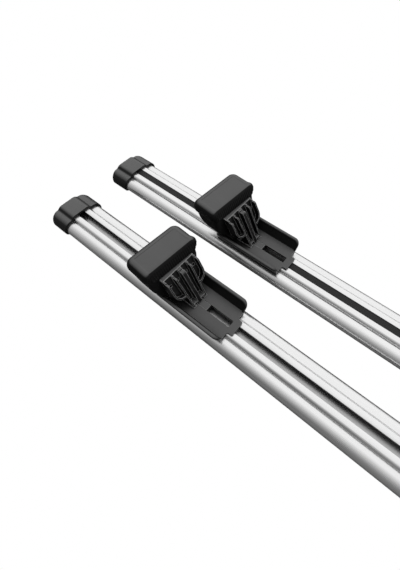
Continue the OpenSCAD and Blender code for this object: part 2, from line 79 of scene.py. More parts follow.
# Node tree of a material or the world: each method adds nodes, sets plain inputs and links sockets
class NodeTree:
    def __init__(self, owner):
        owner.use_nodes = True
        self.owner = owner
        self.tree = owner.node_tree
        self.tree.nodes.clear()

    def add(self, kind, inputs=None, **settings):
        node = self.tree.nodes.new(kind)
        for key, value in settings.items():
            setattr(node, key, value)
        for key, value in (inputs or {}).items():
            if isinstance(value, bpy.types.NodeSocket):
                self.tree.links.new(value, node.inputs[key])
            else:
                node.inputs[key].default_value = value
        return node

    # one operation on plain numbers or sockets
    def maths(self, operation, first, second=0.0, clamp=False):
        node = self.add("ShaderNodeMath", {0: first, 1: second}, operation=operation, use_clamp=clamp)
        return node.outputs[0]

    # linear change of a value from one range to another, clamped
    def spread(self, value, source, target=(0.0, 1.0)):
        node = self.add("ShaderNodeMapRange", {"Value": value, "From Min": source[0], "From Max": source[1],
                                               "To Min": target[0], "To Max": target[1]})
        return node.outputs["Result"]

    # noise at a scale, on object coordinates stretched by a vector
    def noise(self, scale, stretch, detail, rough):
        coord = self.add("ShaderNodeTexCoord").outputs["Object"]
        place = self.add("ShaderNodeMapping", {"Vector": coord, "Scale": stretch}).outputs[0]
        node = self.add("ShaderNodeTexNoise", {"Vector": place, "Scale": scale, "Detail": detail,
                                               "Roughness": rough})
        return node.outputs["Fac"]

    # the three parts of a vector
    def parts(self, vector):
        return self.add("ShaderNodeSeparateXYZ", {0: vector}).outputs

    # normal with the edges rounded by a radius
    def softNormal(self, radius):
        return self.add("ShaderNodeBevel", {"Radius": radius}, samples=bevelSamples).outputs[0]

    # openness: 1 in the open, less where other surfaces stand within a distance
    def openness(self, reach):
        return self.add("ShaderNodeAmbientOcclusion", {"Distance": reach}, samples=openSamples).outputs["AO"]

    # worn edges, and in the moulded finishes painted edge highlights: sharpness times one minus the cosine
    # between the rounded and the plain normal, at most 1
    def edges(self, radius, sharpness):
        plain = self.add("ShaderNodeNewGeometry").outputs["Normal"]
        dot = self.add("ShaderNodeVectorMath", {0: self.softNormal(radius), 1: plain}, operation="DOT_PRODUCT")
        lean = self.maths("SUBTRACT", 1.0, dot.outputs["Value"])
        return self.maths("MULTIPLY", lean, sharpness, clamp=True)

    # mix of two colours: 6 and 7 are the colour sockets of the Mix node
    def mixColour(self, factor, first, second):
        node = self.add("ShaderNodeMix", {0: factor, 6: first, 7: second}, data_type="RGBA")
        return node.outputs[2]

    # bump from a height value, on top of a softened normal where a radius is given
    def bump(self, height, strength, distance, radius=0.0):
        inputs = {"Height": height, "Strength": strength, "Distance": distance}
        if radius:
            inputs["Normal"] = self.softNormal(radius)
        return self.add("ShaderNodeBump", inputs).outputs[0]

    # closes a material with its shader
    def finish(self, inputs):
        shader = self.add("ShaderNodeBsdfPrincipled", inputs)
        self.add("ShaderNodeOutputMaterial", {"Surface": shader.outputs[0]})
        return self.owner


# Mesh object from vertices and faces, placed at the origin
def meshObject(name, verts, faces, smooth=True):
    mesh = bpy.data.meshes.new(name)
    mesh.from_pydata(np.asarray(verts, float).tolist(), [], [list(f) for f in faces])
    mesh.validate()
    mesh.polygons.foreach_set("use_smooth", [smooth] * len(mesh.polygons))
    mesh.update()
    thing = bpy.data.objects.new(name, mesh)
    bpy.context.scene.collection.objects.link(thing)
    return thing


# Camera at the photograph's place: the view axis runs along "towards" and the picture's up is world up
def makeCamera():
    data = bpy.data.cameras.new("photoCamera")
    data.lens = viewSettings["lens"]
    data.sensor_width = viewSettings["sensor"]
    data.shift_y = viewSettings["shiftY"]
    data.clip_start = viewSettings["nearest"]
    camera = bpy.data.objects.new("photoCamera", data)
    camera.location = viewSettings["place"]
    camera.rotation_euler = Vector(viewSettings["towards"]).to_track_quat("-Z", "Y").to_euler()
    bpy.context.scene.collection.objects.link(camera)
    bpy.context.scene.camera = camera


# Sky: brightness rises in a straight ramp with the direction's share along Y, so that the light comes from
# above and behind, as from a large soft panel. Camera and transmission rays see plain white
def makeWorld():
    world = bpy.data.worlds.new("studio")
    bpy.context.scene.world = world
    t = NodeTree(world)
    backwards = t.parts(t.add("ShaderNodeTexCoord").outputs["Generated"])["Y"]
    sky = t.spread(backwards, viewSettings["skyEdge"], (viewSettings["skyLow"], viewSettings["skyHigh"]))
    path = t.add("ShaderNodeLightPath").outputs
    seen = t.maths("MAXIMUM", path["Is Camera Ray"], path["Is Transmission Ray"])
    light = t.add("ShaderNodeBackground", {"Color": grey(1.0), "Strength": t.maths("MAXIMUM", sky, seen)})
    t.add("ShaderNodeOutputWorld", {"Surface": light.outputs[0]})


# Floor: pale paper that takes the shadow. Camera rays see it white. Glossy and transmission rays see a dim
# emission with a painted shadow, times openness to the power floorFade, so that metal shows it darker close to
# the object
def makeFloor():
    half = viewSettings["floorSize"] / 2
    corners = [(-half, -half, 0), (half, -half, 0), (half, half, 0), (-half, half, 0)]
    floor = meshObject("floor", corners, [(0, 1, 2, 3)], smooth=False)
    floor.location.z = -viewSettings["floorDrop"]
    t = NodeTree(bpy.data.materials.new("floorPaper"))
    # painted shadow on the floor as metal sees it: darker where the object stands close
    paintedFloorShadow = t.maths("POWER", t.openness(viewSettings["floorShadow"]), viewSettings["floorFade"])
    dim = t.maths("MULTIPLY", paintedFloorShadow, viewSettings["floorGloss"])
    path = t.add("ShaderNodeLightPath").outputs
    seen = t.maths("MAXIMUM", path["Is Camera Ray"], path["Is Glossy Ray"])
    seenToo = t.maths("MAXIMUM", seen, path["Is Transmission Ray"])
    paper = t.add("ShaderNodeBsdfDiffuse", {"Color": grey(viewSettings["floorTone"])})
    white = t.add("ShaderNodeEmission", {"Strength": t.maths("MAXIMUM", dim, path["Is Camera Ray"])})
    mix = t.add("ShaderNodeMixShader", {0: seenToo, 1: paper.outputs[0], 2: white.outputs[0]})
    t.add("ShaderNodeOutputMaterial", {"Surface": mix.outputs[0]})
    floor.data.materials.append(t.owner)


# Soft overhead lamp: a square area light that looks straight at its target
def makeSoftbox():
    place, target = Vector(viewSettings["softboxPlace"]), Vector(viewSettings["softboxTarget"])
    data = bpy.data.lights.new("softbox", "AREA")
    data.shape = "SQUARE"
    data.size = viewSettings["softboxSize"]
    data.energy = viewSettings["softboxPower"]
    lamp = bpy.data.objects.new("softbox", data)
    lamp.location = place
    lamp.visible_glossy = False  # the sky alone shows in the metal
    lamp.rotation_euler = (target - place).to_track_quat("-Z", "Y").to_euler()
    bpy.context.scene.collection.objects.link(lamp)


makeCamera()
makeWorld()
makeFloor()
makeSoftbox()
bpy.context.scene.view_settings.view_transform = "Standard"
print("stage ready")

# What a user would change about the metal of the bars: tones are linear greys, lengths are metres, and a noise
# is its scale, stretch, detail and roughness
satinLook = {
    "tone": 0.95,
    "cloudShare": 0.94,  # tone of the darker clouds as a share of the tone
    "wornTone": 0.96,
    "wornShare": 0.5,
    "edgeRadius": 0.0006,
    "edgeSharpness": 6.0,
    "rough": 0.27,
    "roughSpread": 0.04,
    "lines": (900.0, (0.004, 1, 1), 4.0, 0.7),
    "broad": (60.0, (0.05, 1, 1), 2.0, 0.55),
    "clouds": (14.0, (0.4, 1, 1), 3.0, 0.55),
    "lineRough": 0.02,
    "lineBump": 0.08,
    "lineDepth": 0.00002,
    "barMiddle": 0.075,
    "channelSide": (0.0111, 0.0115),
    "channelFloor": (0.0183, 0.0187),
    "channelLip": (0.0284, 0.0290),
    # painted shade on the inside of the channel, as a linear grey
    "channelShadeTone": 0.13,
    "channelRough": 0.15,
}


# Satin aluminium: fine draw lines along X, cloudy tone and roughness, brighter worn edges, and painted shade
# on the inside of the channel, darker and rougher, found by its place: close to the middle of a bar, above its
# floor and below the lips
def satinAluminium(name, look):
    t = NodeTree(bpy.data.materials.new(name))
    lines, broad, clouds = (t.noise(*look[key]) for key in ("lines", "broad", "clouds"))
    worn = t.maths("MULTIPLY", t.edges(look["edgeRadius"], look["edgeSharpness"]), look["wornShare"])
    place = t.parts(t.add("ShaderNodeTexCoord").outputs["Object"])
    fromMiddle = t.maths("ABSOLUTE", t.maths("SUBTRACT", t.maths("ABSOLUTE", place["Y"]), look["barMiddle"]))
    between = t.spread(fromMiddle, look["channelSide"], (1.0, 0.0))
    below = t.spread(place["Z"], look["channelLip"], (1.0, 0.0))
    above = t.spread(place["Z"], look["channelFloor"])
    # mask of the inside of the channel, where shade is painted into the colour and the roughness rises
    inside = t.maths("MULTIPLY", t.maths("MULTIPLY", between, below), above)
    darker, plain = grey(look["tone"] * look["cloudShare"]), grey(look["tone"])
    shade = t.mixColour(t.spread(broad, noiseCore), darker, plain)
    shade = t.mixColour(worn, shade, grey(look["wornTone"]))
    shade = t.mixColour(inside, shade, grey(look["channelShadeTone"]))
    low, high = look["rough"] - look["roughSpread"], look["rough"] + look["roughSpread"]
    roughness = t.maths("ADD", t.spread(clouds, noiseCore, (low, high)),
                        t.spread(lines, lineCore, (-look["lineRough"], look["lineRough"])))
    roughness = t.maths("ADD", roughness, t.maths("MULTIPLY", inside, look["channelRough"]))
    normal = t.bump(lines, look["lineBump"], look["lineDepth"])
    return t.finish({"Base Color": shade, "Metallic": 1.0, "Roughness": roughness, "Normal": normal})


# What a user would change about each moulded finish. The painted light is a paler tone painted on faces that
# look up, as light from above, from one share of the normal along Z to another, and the reach of the openness
# keeps it out of corners, which is painted shade
mouldedLooks = {
    "end_cap": {"tone": 0.008, "paintedLightTone": 0.125, "paintedLight": (0.80, 0.99), "paintedShadeReach": 0.02, "rough": 0.42,
                "grainScale": 2600.0, "grainDepth": 0.00003, "edgeHighlightTone": 0.03, "edgeRadius": 0.0006,
                "shine": 0.22},
    "tray": {"tone": 0.008, "paintedLightTone": 0.10, "paintedLight": (0.60, 0.98), "paintedShadeReach": 0.03, "rough": 0.40,
             "grainScale": 3200.0, "grainDepth": 0.00002, "edgeHighlightTone": 0.22, "edgeRadius": 0.0009,
             "shine": 0.25},
    "jaw": {"tone": 0.004, "paintedLightTone": 0.11, "paintedLight": (0.60, 0.98), "paintedShadeReach": 0.012, "rough": 0.32,
            "grainScale": 3000.0, "grainDepth": 0.00002, "edgeHighlightTone": 0.60, "edgeRadius": 0.0011,
            "shine": 0.20},
    "boot": {"tone": 0.004, "paintedLightTone": 0.115, "paintedLight": (0.78, 0.97), "paintedShadeReach": 0.02, "rough": 0.52,
             "grainScale": 2200.0, "grainDepth": 0.00004, "edgeHighlightTone": 0.07, "edgeRadius": 0.0006,
             "shine": 0.14},
    "infill": {"tone": 0.010, "paintedLightTone": 0.018, "paintedLight": (0.35, 1.0), "paintedShadeReach": 0.01, "rough": 0.50,
               "grainScale": 2600.0, "grainDepth": 0.00003, "edgeHighlightTone": 0.04, "edgeRadius": 0.0003,
               "shine": 0.30},
}
# What all moulded finishes share
mouldedShare = {
    "grain": ((1, 1, 1), 3.0, 0.65),  # stretch, detail and roughness
    "clouds": (26.0, (1, 1, 1), 4.0, 0.55),
    "cloudCore": (0.2, 0.8),
    # cloudiness of the painted light, and the openness over which the painted shade in corners fades in
    "paintedLightClouds": (0.85, 1.0),
    "paintedShadeCore": (0.35, 0.85),
    "specks": ((1, 1, 1), 2.0, 0.55),
    "speckScale": 0.3,  # as a share of the grain's scale
    "speckTones": (0.8, 1.2),
    "edgeSharpness": 5.0,
    "edgeHighlightPatches": (300.0, (1, 1, 1), 3.0, 0.55),
    "patchTones": (0.75, 1.0),
    "roughSpread": (-0.05, 0.05),
    "grainBump": 0.35,
}


# Moulded plastic or rubber: fine spark grain, specks of darker and paler tone, painted light from above on
# open faces that look up, kept out of corners as painted shade, and painted highlights on the edges, in
# patches
def moulded(name, look):
    t = NodeTree(bpy.data.materials.new(name))
    share = mouldedShare
    grain = t.noise(look["grainScale"], *share["grain"])
    specks = t.noise(look["grainScale"] * share["speckScale"], *share["specks"])
    clouds = t.noise(*share["clouds"])
    up = t.parts(t.add("ShaderNodeNewGeometry").outputs["Normal"])["Z"]
    # painted light from above: paler where the normal looks up, a little cloudy, with painted shade in corners
    paintedLight = t.maths("MULTIPLY", t.spread(up, look["paintedLight"]),
                    t.spread(clouds, share["cloudCore"], share["paintedLightClouds"]))
    paintedLight = t.maths("MULTIPLY", paintedLight, t.spread(t.openness(look["paintedShadeReach"]), share["paintedShadeCore"]))
    darker, paler = (grey(look["tone"] * tone) for tone in share["speckTones"])
    shade = t.mixColour(t.spread(specks, noiseCore), darker, paler)
    shade = t.mixColour(paintedLight, shade, grey(look["paintedLightTone"]))
    # painted highlight along the edges, broken into patches
    edgeHighlightPatches = t.maths("MULTIPLY", t.edges(look["edgeRadius"], share["edgeSharpness"]),
                      t.spread(t.noise(*share["edgeHighlightPatches"]), lineCore, share["patchTones"]))
    shade = t.mixColour(edgeHighlightPatches, shade, grey(look["edgeHighlightTone"]))
    low, high = share["roughSpread"]
    roughness = t.maths("ADD", t.spread(clouds, noiseCore, (look["rough"] + low, look["rough"] + high)),
                        t.spread(grain, noiseCore, share["roughSpread"]))
    normal = t.bump(grain, share["grainBump"], look["grainDepth"], look["edgeRadius"])
    return t.finish({"Base Color": shade, "Roughness": roughness, "Normal": normal,
                     "Specular IOR Level": look["shine"]})


# What a user would change about the steel of the fasteners
platedLooks = {
    "bolt": {"tone": 0.22, "rough": 0.34},
    "washer": {"tone": 0.60, "rough": 0.30},
    "nut": {"tone": 0.50, "rough": 0.34},
}
# What all of them share
platedShare = {
    "scratches": (1400.0, (1, 0.08, 1), 4.0, 0.7),
    "clouds": (120.0, (1, 1, 1), 3.0, 0.55),
    "cloudShare": 0.8,
    "roughSpread": (-0.06, 0.08),
    "bump": 0.2,
    "depth": 0.00002,
    "edgeRadius": 0.0003,
}


# Plated steel: cloudy tone, fine scratches in roughness and bump, and softened edges
def plated(name, look):
    t = NodeTree(bpy.data.materials.new(name))
    share = platedShare
    scratches, clouds = t.noise(*share["scratches"]), t.noise(*share["clouds"])
    darker, plain = grey(look["tone"] * share["cloudShare"]), grey(look["tone"])
    shade = t.mixColour(t.spread(clouds, noiseCore), darker, plain)
    low, high = share["roughSpread"]
    roughness = t.spread(scratches, noiseCore, (look["rough"] + low, look["rough"] + high))
    normal = t.bump(scratches, share["bump"], share["depth"], share["edgeRadius"])
    return t.finish({"Base Color": shade, "Metallic": 1.0, "Roughness": roughness, "Normal": normal})


# Finish of each kind of CAD node, by the end of its name
finishes = {
    "extrusion": satinAluminium("satinAluminium", satinLook),
    "end_cap": moulded("capPlastic", mouldedLooks["end_cap"]),
    "tray": moulded("coatedTray", mouldedLooks["tray"]),
    "jaw": moulded("jawPlastic", mouldedLooks["jaw"]),
    "boot": moulded("bootRubber", mouldedLooks["boot"]),
    "infill": moulded("infillRubber", mouldedLooks["infill"]),
    "bolt": plated("darkPlated", platedLooks["bolt"]),
    "washer": plated("brightPlated", platedLooks["washer"]),
    "nut": plated("nutPlated", platedLooks["nut"]),
}
for name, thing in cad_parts.items():
    kind = next(k for k in finishes if name.endswith(k))
    for slot in thing.material_slots:
        slot.material = finishes[kind]
print("finishes on the CAD nodes")

# Foot frame in millimetres: x inwards from the tray's outer end, y across, z above the slotted face
footPlace = {
    "trayPlace": 272.0,
    "barEnd": 600.0,
    "barY": 75.0,
    "faceZ": 30.5,
}


# Places foot points in the world: mirrored on the right end, moved to the bar of that row, in metres
def footToWorld(points, row, side):
    out = np.array(points, float)
    out[:, 0] = (-footPlace["barEnd"] + footPlace["trayPlace"] + out[:, 0]) * sideSign[side]
    out[:, 1] += footPlace["barY"] * rowSign[row]
    out[:, 2] += footPlace["faceZ"]
    return out / mmPerMetre


# Quads between neighbouring rows of a grid of points; closed joins the last column to the first
def gridFaces(rows, columns, closed=True, flip=False):
    r, c = np.meshgrid(np.arange(rows - 1), np.arange(columns if closed else columns - 1), indexing="ij")
    r, c = r.ravel(), c.ravel()
    nxt = (c + 1) % columns
    quads = np.stack([r * columns + c, r * columns + nxt, (r + 1) * columns + nxt, (r + 1) * columns + c], 1)
    return quads[:, ::-1] if flip else quads


# Quads between closed rings, with one face over the first ring and one over the last
def closedRings(rows, columns, flip=False):
    last = (rows - 1) * columns
    ends = [list(range(columns))[::-1], list(range(last, last + columns))]
    return gridFaces(rows, columns, flip=flip).tolist() + [end[::-1] if flip else end for end in ends]


# Turns the faces round where the piece is inside out. The signed volume is summed over the two triangles of
# each quad, as the first corner dotted with the cross product of the other two
def outwards(verts, faces):
    quads = np.array([f for f in faces if len(f) == 4])
    corners = np.concatenate([quads[:, [0, 1, 2]], quads[:, [0, 2, 3]]])
    a, b, c = (verts[corners[:, k]] - verts.mean(0) for k in range(3))
    inside = np.einsum("ij,ij->i", a, np.cross(b, c)).sum() < 0
    return [f[::-1] for f in faces] if inside else faces


# Smooth step from 0 to 1 between two values: 3 t^2 - 2 t^3 with t the clipped share of the way
def smooth(value, low, high):
    t = np.clip((value - low) / (high - low), 0.0, 1.0)
    return t * t * (3 - 2 * t)


# Rounded rectangle walked anticlockwise by even steps, from the front's low end: centre of each corner arc,
# outward normal and how far along the walk each point is. On a straight the centre slides between two arcs
def roundedLoop(x0, x1, halfY, radius, count):
    straightX, straightY = x1 - x0 - 2 * radius, 2 * (halfY - radius)
    quarter = math.pi * radius / 2
    lengths = np.array([straightY, quarter, straightX, quarter] * 2)
    ends = np.concatenate([[0], np.cumsum(lengths)])
    s = np.linspace(0, ends[-1], count, endpoint=False)
    part = np.clip(np.searchsorted(ends, s, side="right") - 1, 0, len(lengths) - 1)
    t = (s - ends[part]) / np.maximum(lengths[part], 1e-9)
    cornerX = np.array([x1, x1, x1, x0, x0, x0, x0, x1]) - radius * np.array([1, 1, 1, -1, -1, -1, -1, 1])
    nextX = np.roll(cornerX, -1)
    cornerY = np.array([-1, 1, 1, 1, 1, -1, -1, -1]) * (halfY - radius)
    nextY = np.roll(cornerY, -1)
    base = np.array([0, 0, 90, 90, 180, 180, 270, 270])[part]
    isArc = part % 2 == 1
    angle = np.radians(base + np.where(isArc, 90 * t, 0))
    centreX = np.where(isArc, cornerX[part], cornerX[part] + (nextX - cornerX)[part] * t)
    centreY = np.where(isArc, cornerY[part], cornerY[part] + (nextY - cornerY)[part] * t)
    normal = np.stack([np.cos(angle), np.sin(angle)], 1)
    return np.stack([centreX, centreY], 1), normal, s


# Rubber pad: a rounded slab with a fuller, ribbed front, in the foot frame
padShape = {
    "x": (-41.5, 12.5),
    "halfWidth": 51.95,
    "corner": 13.0,
    "top": 75.0,
    "bottom": 54.0,
    # share of the way down, how far out and how high the front's profile runs
    "front": ((0, -10.6, 75.0), (0.04, -9.6, 75.0), (0.08, -8.7, 74.6), (0.13, -8.0, 73.7), (0.30, -5.2, 69.6),
              (0.50, -2.2, 64.6), (0.66, -0.4, 60.4), (0.76, 0.0, 58.4), (0.86, -0.9, 55.8),
              (0.93, -3.0, 54.3), (1.0, -8.0, 54.0)),
    "frontPower": 4,
    "bead": 0.4,
    # rings of the flat top: share of the way out and share of the bead's depth
    "beadRings": ((0.15, 1), (0.5, 1), (0.8, 1), (0.93, 1), (0.955, 0.9), (0.97, 0.35), (0.985, 0)),
    "underShare": 0.5,
    "ribPitch": 4.0,
    "ribDepth": 1.1,
    "ribNarrow": 1.5,
    "ribZ": (57.0, 58.5, 69.0, 71.0),
    "ribReach": (0.25, 0.8),
    "rollX": (-7.0, 1.0),
    "rollY": (34.0, 46.0),
    "rollOut": 2.1,
    "turn": 4.0,
    "rings": 30,
    "around": 560,
}


# Turns points about the middle of the pad, clockwise seen from above, by a share of the pad's turn
def turned(points, share=1.0):
    angle = -math.radians(padShape["turn"]) * share
    middle = np.array([sum(padShape["x"]) / 2, 0.0])
    away = points[..., :2] - middle
    out = np.array(points, float)
    out[..., 0] = middle[0] + away[..., 0] * np.cos(angle) - away[..., 1] * np.sin(angle)
    out[..., 1] = middle[1] + away[..., 0] * np.sin(angle) + away[..., 1] * np.cos(angle)
    return out


# Pad surface. Each ring is the loop moved out by o along its normals at height z. Sides and back follow a
# half circle, o = r cos a - r, z = middle + r sin a. The front follows its own profile, and the two mix by
# the normal's x to the power frontPower. Ribs are grooves of depth (0.5 - 0.5 cos(2 pi s / pitch)) to the
# power ribNarrow, within a band of heights. The roll at the front's rear end stands out by rollOut
def padSurface():
    p = padShape
    x0, x1 = p["x"]
    centre, normal, walk = roundedLoop(x0, x1, p["halfWidth"], p["corner"], p["around"])
    rim, middle = (p["top"] - p["bottom"]) / 2, (p["top"] + p["bottom"]) / 2
    t = np.linspace(0, 1, p["rings"])
    angle = np.radians(90 - 180 * t)
    side = (rim * np.cos(angle) - rim, middle + rim * np.sin(angle))
    shares, outs, heights = np.array(p["front"]).T
    front = [np.interp(t, shares, outs), np.interp(t, shares, heights)]
    evening = np.array([1, 2, 1]) / 4.0
    for profile in front:
        profile[1:-1] = np.convolve(profile, evening, "valid")
    weight = (np.clip(normal[:, 0], 0, 1) ** p["frontPower"])[None]
    o, z = (plain[:, None] * (1 - weight) + full[:, None] * weight for plain, full in zip(side, front))
    low, lowFull, highFull, high = p["ribZ"]
    band = smooth(z, low, lowFull) * (1 - smooth(z, highFull, high))
    reach = smooth(normal[:, 0], *p["ribReach"])[None]
    wave = 0.5 - 0.5 * np.cos(2 * np.pi * (walk - p["halfWidth"] + p["corner"]) / p["ribPitch"])
    o = o - p["ribDepth"] * band * reach * (wave ** p["ribNarrow"])[None]
    rings = centre[None] + normal[None] * (p["corner"] + o)[:, :, None]
    rings[:, :, 1] += p["rollOut"] * smooth(rings[:, :, 0], *p["rollX"]) * smooth(rings[:, :, 1], *p["rollY"])
    # the flat top, from its middle outwards, with a shallow step behind the bead at its edge
    midPoint = np.array([(x0 + x1) / 2, 0])
    shares, drops = np.array(p["beadRings"]).T
    topRings = midPoint + (rings[0] - midPoint) * shares[:, None, None]
    topZ = np.repeat((p["top"] - p["bead"] * drops)[:, None], p["around"], axis=1)
    under = midPoint + (rings[-1] - midPoint) * p["underShare"]
    flat = np.concatenate([topRings, rings, under[None]])
    height = np.concatenate([topZ, z, np.full((1, p["around"]), p["bottom"])])
    verts = turned(np.concatenate([flat.reshape(-1, 2), height.reshape(-1, 1)], 1))
    return verts, closedRings(*height.shape, flip=True)


# Rubber skirt below the pad: a thick shell, open below and towards the jaw. Above the tray's walls it steps
# out over them, and below it hangs between them
skirtShape = {
    # height, back, front, half width, corner radius and half of the opening at each level
    "levels": (
        (62.0, -38.0, 11.2, 47.2, 9.0, 31.6),
        (54.0, -35.2, 13.0, 47.4, 9.0, 31.6),
        (46.0, -31.0, 15.4, 47.2, 8.6, 31.0),
        (38.0, -25.0, 17.2, 45.6, 8.0, 29.0),
        (30.0, -17.6, 18.8, 42.2, 7.0, 26.0),
        (21.8, -9.8, 20.5, 37.0, 5.0, 23.0),
        (21.4, -8.8, 21.0, 33.8, 5.0, 23.0),
        (10.4, 2.5, 29.9, 27.8, 4.1, 16.8),
    ),
    "wall": 3.0,
    "wallMore": 6.0,  # extra wall at the top, under the pad
    "lip": 1.0,
    "lipBends": (30, 60, 90),
    "lipInside": 0.4,
    "turnFade": 0.7,
    "frontNormal": 0.99,
    "outerRings": 30,
    "innerRings": 12,
    "around": 260,
    "finer": 4,
}


# Outline of the skirt at a share of the way down, walked from one side of the opening round the back to the
# other and moved in by a distance. The levels are joined by straight lines, and the turn of the pad fades
# out as one minus the share, to the power turnFade
def skirtLoop(share, inset):
    levels = np.array(skirtShape["levels"]).T
    height = levels[0, 0] + (levels[0, -1] - levels[0, 0]) * share
    x0, x1, halfY, corner, opening = (np.interp(-height, -levels[0], column) for column in levels[1:])
    centre, normal, _ = roundedLoop(x0, x1, halfY, corner, skirtShape["finer"] * skirtShape["around"])
    points = turned(centre + normal * (corner - inset), (1 - share) ** skirtShape["turnFade"])
    kept = ~((normal[:, 0] > skirtShape["frontNormal"]) & (np.abs(points[:, 1]) < opening))
    start = int(np.argmax(kept & ~np.roll(kept, 1)))
    points = np.roll(points, -start, axis=0)[: int(kept.sum())]
    pick = np.linspace(0, len(points) - 1, skirtShape["around"])
    base = np.floor(pick).astype(int)
    nxt = np.minimum(base + 1, len(points) - 1)
    part = (pick - base)[:, None]
    points = points[base] * (1 - part) + points[nxt] * part
    points[0, 1], points[-1, 1] = opening, -opening
    return points


# Skirt surface: outer loops from top to bottom, a small round lip, inner loops back to the top, and the last
# loop joined to the first. At angle a the lip is moved in by lip (1 - cos a) and stands lip (1 - sin a) above
# the low edge
def skirtSurface():
    s = skirtShape
    levelZ = np.array(s["levels"])[:, 0]
    topZ, lowZ = levelZ[0], levelZ[-1]
    heights = np.unique(np.concatenate([np.linspace(topZ, lowZ, s["outerRings"]), levelZ]))[::-1]
    down, up = (topZ - heights) / (topZ - lowZ), np.linspace(1, 0, s["innerRings"])
    bend = np.radians(s["lipBends"])
    share = np.concatenate([down, np.ones(len(bend)), up])
    inset = np.concatenate([np.zeros(len(down)), s["lip"] * (1 - np.cos(bend)),
                            s["wall"] + s["wallMore"] * (1 - up)])
    z = np.concatenate([topZ + (lowZ + s["lip"] - topZ) * down, lowZ + s["lip"] * (1 - np.sin(bend)),
                        topZ + (lowZ + s["lipInside"] - topZ) * up])
    columns = s["around"]
    verts = np.concatenate([np.column_stack([skirtLoop(part, inwards), np.full(columns, height)])
                            for part, inwards, height in zip(share, inset, z)])
    total = len(verts)
    faces = (gridFaces(len(z) + 1, columns, closed=False, flip=True) % total).tolist()
    faces += [list(range(0, total, columns))[::-1], list(range(columns - 1, total, columns))]
    return verts, faces


# Adds one rubber piece to a foot, with its faces turned round on the mirrored side
def bootPiece(name, row, side, surface):
    verts, faces = surface
    if side == "right":
        faces = [f[::-1] for f in faces]
    thing = meshObject(f"{row}{side.capitalize()}{name}", footToWorld(verts, row, side), faces)
    thing.data.materials.append(finishes["boot"])
    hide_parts(f"{row}_{side}_boot")
    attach(thing, f"{row}_{side}_clamp")


padMesh, skirtMesh = padSurface(), skirtSurface()
for row, side in feet:
    bootPiece("RubberPad", row, side, padMesh)
    bootPiece("RubberSkirt", row, side, skirtMesh)
print("rubber boots")

# Rolled rim along the top edge of each tray wall, in the foot frame: base and top are across and height
rimShape = {
    "length": 122.0,
    "base": (28.4, 3.8),
    "top": (35.9, 18.9),
    "round": 9.0,
    "roundSteps": 10,
    "inset": 1.2,
    "radius": 1.9,
    "lipFrom": 0.4,
    "lipWider": 0.6,
    "lipOut": 1.2,
    "around": 16,
}


# Path of the rim in the plane of the leaning wall: up one end, round the corner, along the top and down
# again, as places along the tray and shares of the wall's height
def rimPath():
    r, low, high = rimShape["round"], rimShape["inset"], rimShape["length"] - rimShape["inset"]
    rise = math.hypot(rimShape["top"][0] - rimShape["base"][0], rimShape["top"][1] - rimShape["base"][1])
    angle = np.radians(np.linspace(0, 90, rimShape["roundSteps"]))
    x = np.concatenate([[low], low + r - r * np.cos(angle), high - r + r * np.sin(angle), [high]])
    up = np.concatenate([[0.0], rise - r + r * np.sin(angle), rise - r + r * np.cos(angle), [0.0]])
    return x, up / rise


# Tube along a flat path of points: circle points are centre + radius (cos a u + sin a v), with u and v
# square to the path and u in its plane
def tubeAlong(points, radius, around):
    tangent = np.gradient(points, axis=0)
    tangent /= np.linalg.norm(tangent, axis=1, keepdims=True)
    u = np.cross(tangent, np.cross(points[-1] - points[0], points[len(points) // 2] - points[0]))
    u /= np.linalg.norm(u, axis=1, keepdims=True)
    v = np.cross(tangent, u)
    angle = np.linspace(0, 2 * math.pi, around, endpoint=False)[None, :, None]
    verts = points[:, None] + radius * (np.cos(angle) * u[:, None] + np.sin(angle) * v[:, None])
    return verts.reshape(-1, 3), closedRings(len(points), around)


# Both rims of one tray as one mesh. Towards the top each tube widens and moves out, as a rolled lip
def trayRims(row, side):
    x, share = rimPath()
    (baseY, baseZ), (topY, topZ) = rimShape["base"], rimShape["top"]
    around = rimShape["around"]
    lip = np.repeat(smooth(share, rimShape["lipFrom"], 1.0), around)
    allVerts, allFaces = [], []
    for sign in (-1, 1):
        y = sign * (baseY + (topY - baseY) * share)
        spine = np.column_stack([x, y, baseZ + (topZ - baseZ) * share])
        verts, faces = tubeAlong(spine, rimShape["radius"], around)
        across = verts[:, 1] - np.repeat(y, around)
        verts[:, 1] += lip * (across * rimShape["lipWider"] + sign * rimShape["lipOut"])
        placed = footToWorld(verts, row, side)
        start = len(allVerts) * len(placed)
        allFaces += [[start + k for k in f] for f in outwards(placed, faces)]
        allVerts.append(placed)
    thing = meshObject(f"{row}{side.capitalize()}TrayRims", np.concatenate(allVerts), allFaces)
    thing.data.materials.append(finishes["tray"])
    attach(thing, "bars")


for row, side in feet:
    trayRims(row, side)
print("tray rims")


# Carries a closed section along X through given places and closes both ends
def pushedAlong(section, places, middleY, bottomZ):
    rows, count = len(places), len(section)
    verts = np.column_stack([np.repeat(places, count), np.tile(section[:, 0], rows) + middleY,
                             np.tile(section[:, 1], rows) + bottomZ])
    return verts / mmPerMetre, closedRings(rows, count)


# Rubber infill strip of the rear bar: a section with fine ridges on its face, in millimetres
infillShape = {
    "faceHalf": 6.4,
    "footHalf": 9.0,
    "faceZ": 29.7,
    "shoulderZ": 27.6,
    "footZ": 26.0,
    "ridges": 5,
    "ridgeDepth": 0.35,
    "ridgePoints": 12,
    "spans": {"left": (-557.3, -328.3), "middle": (-196.7, 196.7), "right": (328.3, 557.3)},
}


